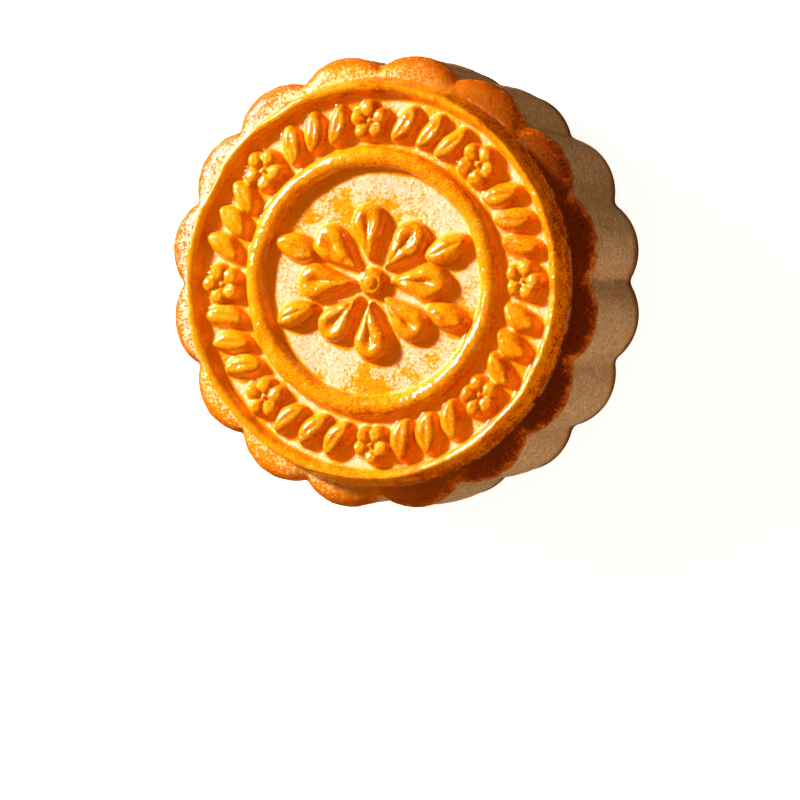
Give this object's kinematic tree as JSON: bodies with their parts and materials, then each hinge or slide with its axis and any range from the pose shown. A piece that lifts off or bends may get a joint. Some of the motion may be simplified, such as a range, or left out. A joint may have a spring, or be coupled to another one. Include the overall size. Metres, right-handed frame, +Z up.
{
  "type": "mooncake",
  "caption": "Round moulded mooncake with a scalloped wall and a raised pattern of rings, leaves and blossoms on top, baked golden.",
  "frame": {"origin": "centre of the flat base, on the surface that the cake rests on", "axes": "+Z up, out of the patterned top; +Y towards the top of the pattern, which is the outward direction of one petal of its middle flower; +X to the right of it"},
  "size_m": [0.0738, 0.0738, 0.0325],
  "materials": {
    "crust": "baked pastry crust: glazed and golden brown on the raised pattern, pale in the hollows and on the wall, satin to matt"
  },
  "bodies": {
    "root": {"mooncake": "crust"}
  },
  "joints": []
}
